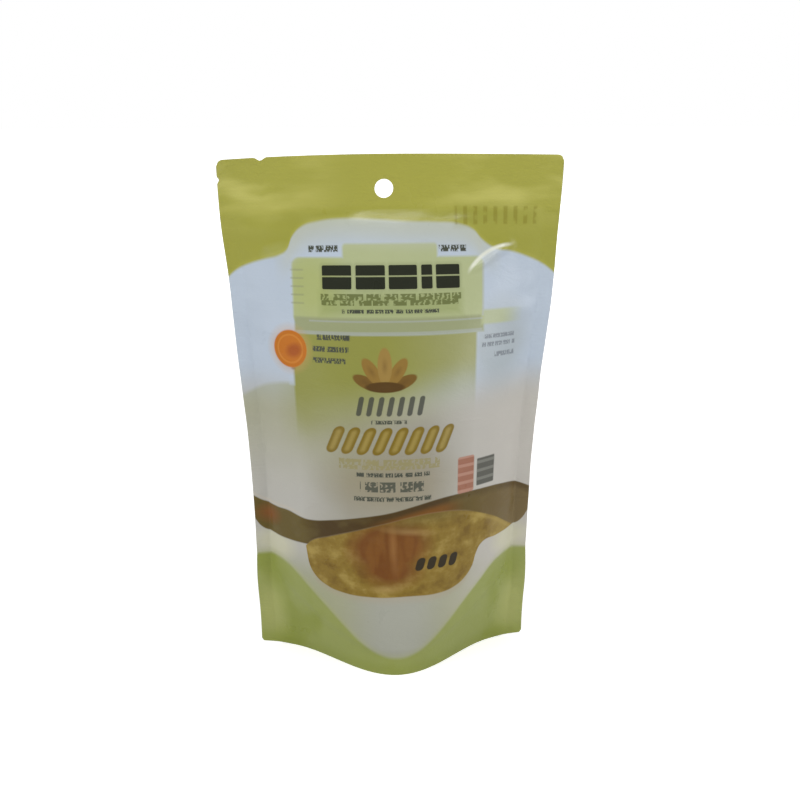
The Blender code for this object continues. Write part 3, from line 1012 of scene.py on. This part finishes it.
# %% Paint the brown band and the golden panel
BAND_TOP = (
    (-55, 56), (-51.5, 54), (-46, 52.9), (-40, 52.8), (-35, 52), (-30, 51.7), (-22, 53),
    (-12, 55), (-2, 57), (6, 59), (14, 60.5), (22, 61), (32, 60.8), (42, 60.1), (49, 59),
    (55, 57),
)
BAND_FOOT = (
    (-55, 47.5), (-52.5, 44.2), (-48, 42.9), (-40, 42.4), (-33, 42.6), (-15, 44), (10, 46),
    (30, 46), (44, 44.6), (50, 43.4), (52.5, 44.6), (55, 48.5),
)
PANEL_TOP = (
    (-55, 30), (-34, 41), (-30, 44.4), (-24, 46.8), (-14, 50.2), (-4, 53.2), (6, 55.5),
    (14, 56), (22, 55.2), (30, 53), (38, 49.6), (45, 45.6), (50, 42.6), (55, 38),
)
PANEL_FOOT = (
    (-55, 60), (-34, 47), (-32.6, 41), (-31.6, 36), (-29.4, 32.2), (-25, 29.3), (-18, 27.8),
    (-8, 27.6), (4, 28), (14, 27.6), (20.5, 28.4), (25, 30.6), (28, 34), (29.8, 38.5),
    (32, 41.2), (40, 42.2), (47, 42.9), (55, 45),
)


def front_band():
    """Brown between two curves, darker over the panel and greyer to the right."""
    edge = over_curve(BAND_TOP)
    band = edge.ink(0.5) * over_curve(BAND_FOOT).between(-0.3, 0.3)
    yield band, "brown"
    yield band * S.between(-38, -24) * S.between(30, 10) * 0.9, "brown_deep"
    yield band * S.between(18, 36) * 0.8, "brown_grey"
    yield band * S.between(36, 50) * 0.5, "brown_pale"
    yield band * (edge + 0.8).between(-2.4, 0.2) * S.between(0, 22) * 0.6, "brown_deep"
    yield band * noise(0.10, 0.16, 2, 63).between(0.5, 0.7) * 0.3, "brown_moss"
    yield band * oval(-49.5, 49.6, 8, 5.4).ink(3.6) * 0.6, "rust"
    warm = edge.between(-1, -3.5) * S.between(-12, 4) * S.between(26, 14)
    yield band * warm * 0.7, "brown_warm"
    glow = (abs(edge - 0.9) - 0.2).ink(1.2) * S.between(-30, -40)
    yield glow * 0.4, "peach"


def front_panel():
    """Golden panel between two curves: flaked, amber in the middle, shaded under the band."""
    rim = over_curve(PANEL_TOP)
    foot = over_curve(PANEL_FOOT)
    halo = foot.between(-3.2, -0.4) * (abs(S + 2) - 29).ink(4) * rim.ink(1)
    yield halo * 0.45, "halo_grey"
    shape = rim.ink(0.5) * foot.between(-0.25, 0.25)
    yield shape, "gold"
    flakes = noise(0.15, 0.18, 3, 8, roughness=0.6)
    yield shape * flakes.between(0.47, 0.72) * 0.8, "gold_pale"
    yield shape * flakes.between(0.50, 0.28) * 0.8, "gold_deep"
    yield shape * oval(43, 45.6, 12, 5, -30).ink(4) * 0.6, "gold_pale"
    slab = oval(-2.6, 45, 26, 18, 8).math("MINIMUM", oval(-2.5, 38, 19, 12, -6))
    glowing = shape * slab.ink(5)
    yield glowing * 0.9, "amber"
    veins = noise(0.30, 0.08, 1.5, 71).between(0.46, 0.66)
    yield glowing * veins * 0.12, "amber_vein"
    streak = oval(-1.2, 45, 1.8, 13, 4).ink(1.8)
    yield shape * streak * 0.35, "amber_streak"
    glint = oval(4, 50.4, 11, 1.4, -7).math("MINIMUM", oval(-4, 30.4, 7, 2)).ink(1.8)
    yield shape * glint * 0.35, "glint"
    shaded = rim.between(-6, -0.5) * (abs(S - 10) - 12).ink(14)
    yield shape * shaded * 0.6, "brown"
    pale_rim = (abs(rim + 1) - 0.4).ink(1) * S.between(16, 32)
    yield shape * pale_rim * 0.5, "gold_pale"


front_colour = printed(front_colour, front_band, front_panel)
print("band and panel painted, nodes:", len(tree.nodes))

# %% [markdown]
# ## Rows and lines that stand in for words
#
# No lettering is copied. Heavy dark blocks stand where the large word was, leaning gold
# grains where the name was, slim stalks and pills for two shorter words, and greeked
# lines for the small type. Sizes, colours and places follow the pack, so that from a
# step away it looks as full as it should.

# %% Paint the rows of blocks and the greeked lines
HEAVY_BLOCKS = ((-23.4, 9.6), (-12.4, 9.6), (-1.6, 9.2), (9, 3.6), (13.8, 7.8))
GOLD_GRAINS = even_row(-22, 15, 5.2, 3.9)
DARK_STALKS = even_row(-12.4, 8, 3.3, 1.7)
FILL_PILLS = even_row(6.4, 21, 4, 2.9)
DARK_LINES = (
    (-27.5, -18, 139.7, 141.7), (15, 24, 139.5, 141.5), (-25.5, -14.5, 112.3, 114),
    (-27, -15, 108.6, 110.3), (-27, -16, 105, 106.7), (-13.5, 11, 69, 70.4),
    (-14, 11.5, 60.9, 62.4), (-8, 3.5, 86.3, 87.5), (-17, 14.5, 120.8, 122),
)
PALE_LINES = (
    (30, 42, 111.4, 112.8), (29.5, 42.5, 108.8, 110.2), (34.5, 42.5, 105.2, 106.8),
)


def front_rows():
    """Rows of blocks, grains, stalks and pills in place of the four largest words."""
    slit = (abs(Z - 132.2) - 0.22).ink(0.2).flipped()
    heavy = block_row(HEAVY_BLOCKS, 128.2, 135.6, 0.5)
    yield heavy.ink(2.6) * 0.5, "ink_haze"
    yield heavy.ink() * slit, "ink"
    grains = block_row(GOLD_GRAINS, 76.2, 85.2, 1.9, 24)
    yield grains.ink(0.3), "grain_gold"
    yield grains.between(-0.5, -1.8) * 0.6, "grain_light"
    yield block_row(DARK_STALKS, 88.8, 95, 0.8, 12).ink(0.3) * 0.85, "stalk_grey"
    yield block_row(FILL_PILLS, 36.6, 41, 1.3, 16).ink(0.3), "pill_brown"


def front_lines():
    """Greeked lines in two sizes of type, dark, pale, green and gold."""
    small = type_grain(0.95, 2.3, 3)
    yield lines_of(DARK_LINES) * small, "ink_soft"
    yield lines_of(PALE_LINES) * small * 0.8, "note_grey"
    large = type_grain(1.7, 5.2, 6, 0.32)
    yield window(-24, 22, 123.2, 126.8).ink() * large * 0.75, "ink_green"
    yield window(-12, 9, 64, 67.4).ink() * large * 0.9, "ink_soft"
    yield window(-19, 14.5, 71.4, 74.8).ink() * large * 0.8, "line_gold"


def front_marks():
    """Faint worn ticks in place of the code, and a painted highlight along the ridge of the sharp
    crease.
    """
    ticks = (S * (2 * math.pi / 3.3)).math("SINE").between(-0.1, 0.7)
    worn = noise(0.3, 0.3, 1, 27).between(0.7, 0.5)
    code = window(20.5, 47.5, 147.8, 153.4).ink(0.6) * ticks * worn
    yield window(21, 47, 147.5, 154).ink(3) * 0.35, "lime_deep"
    yield code * 0.45, "code_olive"
    # Painted highlight: a pale curved streak along the sharp crease at the top right.
    ds, dz = turned(S, Z, 31, 139.1, 29.5)
    highlight_streak = (abs(dz + ds * ds * 0.028) - 0.5).ink(0.7) * abs(ds).between(9.6, 6)
    yield highlight_streak * 0.85, "painted_crease_highlight"


front_colour = printed(front_colour, front_rows, front_lines, front_marks)
print("rows and lines painted, nodes:", len(tree.nodes))

# %% [markdown]
# ## Small motifs
#
# The badges and the little picture are also replaced. A round orange seal, a fan of
# leaves and two striped tags, one pink and one dark, keep the colours and the scale of
# what was there, in shapes that belong to nobody.

# %% Paint the seal, the leaves and the tags
LEAF_MIDDLE = -3.4
# Each leaf: its place out from the middle and up, its width and height, turn and colour
LEAVES = (
    (6, 99.4, 9.4, 3.8, 24, "leaf_low"),
    (4.2, 102.8, 9.8, 4.2, 56, "leaf_side"),
    (0, 104.6, 4.6, 11.4, 0, "leaf_middle"),
    (0, 98, 12.6, 3.4, 0, "leaf_foot"),
)
STRIPE_PITCH = 2.9


def front_seal():
    """Round orange seal with a glow round it, a ring in it and a deeper middle."""
    seal = oval(-35, 108.8, 11.8, 12.2)
    yield (seal - 1.2).ink(3) * 0.4, "seal_glow"
    yield seal.ink(0.4), "seal_orange"
    yield (abs(seal + 1.5) - 0.3).ink() * 0.5, "seal_ring"
    yield oval(-33.6, 108.4, 5.4, 4, 20).ink(1.6) * 0.75, "seal_deep"


def front_leaves():
    """A fan of leaves, mirrored about its middle, each with a darker inside."""
    mirrored = abs(S - LEAF_MIDDLE)
    for centre_s, centre_z, width, height, turn, name in LEAVES:
        leaf = oval(centre_s, centre_z, width, height, turn, s=mirrored)
        yield leaf.ink(0.3), name
        yield (leaf + min(width, height) * 0.36).ink(1.2) * 0.4, "leaf_inside"


def front_tags():
    """Two small tags side by side, crossed by soft stripes."""
    tag = box(24.6, 67.2, 6.6, 12.4, 0.8).ink(0.4)
    yield tag, "tag_pink"
    stripes = (Z * (2 * math.pi / STRIPE_PITCH)).math("SINE").between(0.1, 0.8)
    yield tag * stripes * 0.45, "pink_stripe"
    dark = box(33.2, 67, 8, 9.4, 0.4).ink(0.4)
    yield dark, "tag_dark"
    yield dark * stripes * 0.35, "grey_stripe"


front_colour = printed(front_colour, front_seal, front_leaves, front_tags)
print("motifs painted, nodes:", len(tree.nodes))

# %% [markdown]
# ## The back and the inside
#
# The photograph doesn't show the back, so it gets the same fields of colour and nothing
# else: a lime top, white film, a plain brown band and a green foot. The gusset and the
# inner faces of the skirts are bare white film.

# %% Paint the back and the gusset, and choose by layer
BACK_ARCH = ((-55, 131), (-30, 139), (0, 142), (30, 139), (55, 131))
BACK_BAND_TOP = ((-55, 57), (-20, 60), (20, 54), (55, 56))
BACK_BAND_FOOT = ((-55, 47), (-20, 50), (20, 44), (55, 46))
CUT_EDGE = 0.25


def back_fields():
    """Plain fields on the back, between gentle curves."""
    # Painted reflection of cool light on the upper white film, as on the front.
    yield Z.between(80, 110), "lilac_white"
    yield over_curve(BACK_ARCH).between(-0.7, 0.7), "lime"
    band_top = over_curve(BACK_BAND_TOP)
    band_foot = over_curve(BACK_BAND_FOOT)
    yield band_top.ink(0.4) * band_foot.between(-0.2, 0.2), "brown"
    yield over_curve(FOOT).between(0.7, -0.7), "green"


past_front = LAYER.math("GREATER_THAN", (FRONT + BACK) / 2)
print_colour = paint(front_colour, past_front, printed(tone("warm_white"), back_fields))
past_back = LAYER.math("GREATER_THAN", (BACK + INSIDE) / 2)
print_colour = paint(print_colour, past_back, tone("gusset_white"))
outside = LAYER.math("LESS_THAN", (BACK + INSIDE) / 2)
cut_edge = (abs(S) - (HALF_WIDTH - CUT_EDGE)).between(0, 0.2) * outside
print_colour = paint(print_colour, cut_edge * 0.4, tone("film_core"))
print("back and gusset painted, nodes:", len(tree.nodes))

# %% [markdown]
# ## The finish of the film
#
# Laminated film has a satin gloss with broad, soft highlights. It isn't even, because
# handling dulls it in patches. The seals carry the faint ribs of the heated jaws, the
# filled film has fine wrinkles, and all of it has a fine orange peel, so these three go
# into the bump.

# %% Give the film its gloss, ribs and grain
SEAL_RIB_PITCH = 1.15
RIB_HEIGHT, WRINKLE_HEIGHT, PEEL_HEIGHT = 0.016, 0.55, 0.018
LEAST_ROUGHNESS, DULLED_BY = 0.27, 0.12
DARKEST, MOTTLED_BY = 0.95, 0.10
GLOSS = {"IOR": 1.47, "Specular IOR Level": 0.25, "Coat Weight": 0.30, "Coat Roughness": 0.20}


def film_bump():
    """Ribs in the welded areas, fine wrinkles and orange peel, as one height in mm."""
    in_band = Z.between(SEAL_TOP - 0.6, SEAL_TOP + 0.6)
    in_side = abs(S).between(FREE_HALF - 0.4, FREE_HALF + 0.4)
    welded = in_band.math("MAXIMUM", in_side)
    ribs = (Z * (2 * math.pi / SEAL_RIB_PITCH)).math("SINE") * welded
    wrinkles = noise(0.11, 0.16, 5.0, 21.0, roughness=0.62, distortion=0.6)
    peel = noise(1.7, 1.7, 2.0, 33.0)
    return ribs * RIB_HEIGHT + wrinkles * WRINKLE_HEIGHT + peel * PEEL_HEIGHT


def finish_film():
    """Connects colour, roughness and bump, and sets the constants of the gloss."""
    shade = noise(0.035, 0.03, 3.0, 5.0)
    mottled = tree.nodes.new("ShaderNodeHueSaturation")
    wire(shade * MOTTLED_BY + DARKEST, mottled.inputs["Value"])
    tree.links.new(print_colour, mottled.inputs["Color"])
    tree.links.new(mottled.outputs[0], shader.inputs["Base Color"])
    patches = noise(0.06, 0.05, 4.0, 14.0)
    wire(patches.between(0.3, 0.7) * DULLED_BY + LEAST_ROUGHNESS, shader.inputs["Roughness"])
    bump = tree.nodes.new("ShaderNodeBump")
    set_inputs(bump, {"Strength": 0.5, "Distance": MM})
    wire(film_bump(), bump.inputs["Height"])
    tree.links.new(bump.outputs[0], shader.inputs["Normal"])
    set_inputs(shader, GLOSS)


finish_film()
pouch.data.materials.append(film_material)
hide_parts("refill_pouch")
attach(pouch, "root")
print("film finished, nodes:", len(tree.nodes))

# %% [markdown]
# ## Floor and background
#
# The photograph is a cut-out on pure white. A large pale floor keeps the pouch's soft
# shadow and shines a little to the camera, so that it fades into the white. The world is
# white too where the camera sees it, and dimmer for everything that it lights.

# %% Make the floor and the world
FLOOR_REACH, FLOOR_GLOW = 4.0, 0.56
GLOW_FROM, GLOW_FULL = 0.15, 1.2
AMBIENT = 0.405
WHITE = (1.0, 1.0, 1.0, 1.0)


def for_camera(node_tree, plain, seen, output):
    """Sends one shader to the camera, and the plain one to all other light."""
    choose = node_tree.nodes.new("ShaderNodeMixShader")
    path = node_tree.nodes.new("ShaderNodeLightPath")
    node_tree.links.new(path.outputs["Is Camera Ray"], choose.inputs[0])
    node_tree.links.new(plain.outputs[0], choose.inputs[1])
    node_tree.links.new(seen.outputs[0], choose.inputs[2])
    node_tree.links.new(choose.outputs[0], output.inputs["Surface"])


def make_floor():
    """A wide pale floor; its glow grows with the distance from the pouch, as an S curve."""
    mesh = bpy.data.meshes.new("floor")
    corners = [(x * FLOOR_REACH, y * FLOOR_REACH, 0.0) for x, y in ((-1, -1), (1, -1), (1, 1), (-1, 1))]
    mesh.from_pydata(corners, [], [(0, 1, 2, 3)])
    floor = bpy.data.objects.new("floor", mesh)
    bpy.context.scene.collection.objects.link(floor)
    material = bpy.data.materials.new("pale_floor")
    material.use_nodes = True
    nodes, links = material.node_tree.nodes, material.node_tree.links
    surface = nodes["Principled BSDF"]
    set_inputs(surface, {"Base Color": (0.90, 0.90, 0.89, 1.0), "Roughness": 0.9})
    glow = nodes.new("ShaderNodeEmission")
    place = nodes.new("ShaderNodeTexCoord")
    far = nodes.new("ShaderNodeVectorMath")
    far.operation = "LENGTH"
    growth = nodes.new("ShaderNodeMapRange")
    growth.interpolation_type = "SMOOTHSTEP"
    set_inputs(growth, {
        "From Min": GLOW_FROM, "From Max": GLOW_FULL, "To Min": FLOOR_GLOW, "To Max": 1.0,
    })
    both = nodes.new("ShaderNodeAddShader")
    links.new(place.outputs["Object"], far.inputs[0])
    links.new(far.outputs["Value"], growth.inputs["Value"])
    links.new(growth.outputs["Result"], glow.inputs["Strength"])
    links.new(surface.outputs[0], both.inputs[0])
    links.new(glow.outputs[0], both.inputs[1])
    for_camera(material.node_tree, surface, both, nodes["Material Output"])
    mesh.materials.append(material)


def make_world():
    """White for the camera, and an even dim white for everything that it lights."""
    world = bpy.data.worlds.new("studio")
    bpy.context.scene.world = world
    world.use_nodes = True
    nodes = world.node_tree.nodes
    seen = nodes.new("ShaderNodeBackground")
    set_inputs(seen, {"Color": WHITE, "Strength": 1.0})
    set_inputs(nodes["Background"], {"Color": (0.97, 0.98, 1.0, 1.0), "Strength": AMBIENT})
    for_camera(world.node_tree, nodes["Background"], seen, nodes["World Output"])


make_floor()
make_world()
print("floor and world ready")

# %% [markdown]
# ## The lamps
#
# The light is broad and even. Two equal lamps stand far out to the left and right, a
# small one high in front gives the folds their soft highlights, and one behind lights
# the back of the floor.

# %% Place the lamps
LAMP_AIM = (0.0, 0.0, 0.09)
NEUTRAL, WARM = (1.0, 1.0, 1.0), (1.0, 0.99, 0.98)
# Each lamp: name, place, width, height, power and colour
LAMPS = (
    ("left_lamp", (-1.25, -0.75, 0.55), 0.7, 0.9, 6.6, WARM),
    ("right_lamp", (1.25, -0.85, 0.45), 0.7, 0.9, 6.6, WARM),
    ("top_lamp", (0.0, -0.62, 1.12), 0.30, 0.20, 2.2, NEUTRAL),
    ("back_lamp", (0.35, 1.35, 0.75), 0.9, 0.6, 7.0, NEUTRAL),
)


def lamp(name, place, width, height, power, colour):
    """A rectangular soft lamp at a place, turned towards the middle of the pouch."""
    data = bpy.data.lights.new(name, "AREA")
    data.shape = "RECTANGLE"
    data.size, data.size_y = width, height
    data.energy = power
    data.color = colour
    obj = bpy.data.objects.new(name, data)
    bpy.context.scene.collection.objects.link(obj)
    obj.location = place
    obj.rotation_euler = (Vector(LAMP_AIM) - Vector(place)).to_track_quat("-Z", "Y").to_euler()


for settings in LAMPS:
    lamp(*settings)
bpy.context.scene.view_settings.view_transform = "Standard"
print(len(LAMPS), "lamps placed")
